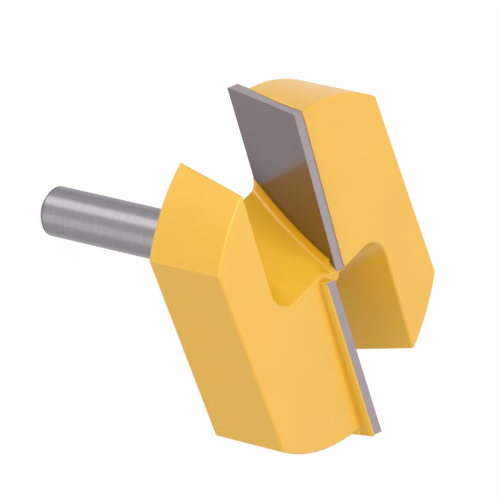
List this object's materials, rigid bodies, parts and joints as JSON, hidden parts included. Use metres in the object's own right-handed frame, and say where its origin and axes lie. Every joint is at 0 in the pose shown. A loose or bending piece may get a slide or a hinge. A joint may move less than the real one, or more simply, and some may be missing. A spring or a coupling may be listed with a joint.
{
  "type": "bottom cleaning router bit",
  "caption": "Router bit with a wide flat head, brazed carbide cutting edges across its face and a plain round shank, for levelling and cleaning flat recesses.",
  "frame": {"origin": "centre of the shank's free end, on the spin axis", "axes": "+Z along the spin axis from the shank's end to the cutting end; +X along the cutting edge of plate 1, outwards"},
  "size_m": [0.06, 0.0454, 0.056],
  "materials": {
    "body_enamel": "semi-gloss yellow enamel on turned and milled steel, bare ground steel on the shank",
    "carbide": "sintered tungsten carbide with diamond-ground faces",
    "braze": "silver braze under the same yellow enamel"
  },
  "bodies": {
    "root": {"bit_body": "body_enamel", "cutter_plate_1": "carbide", "cutter_plate_2": "carbide", "braze_seam_1": "braze", "braze_seam_2": "braze"}
  },
  "joints": []
}
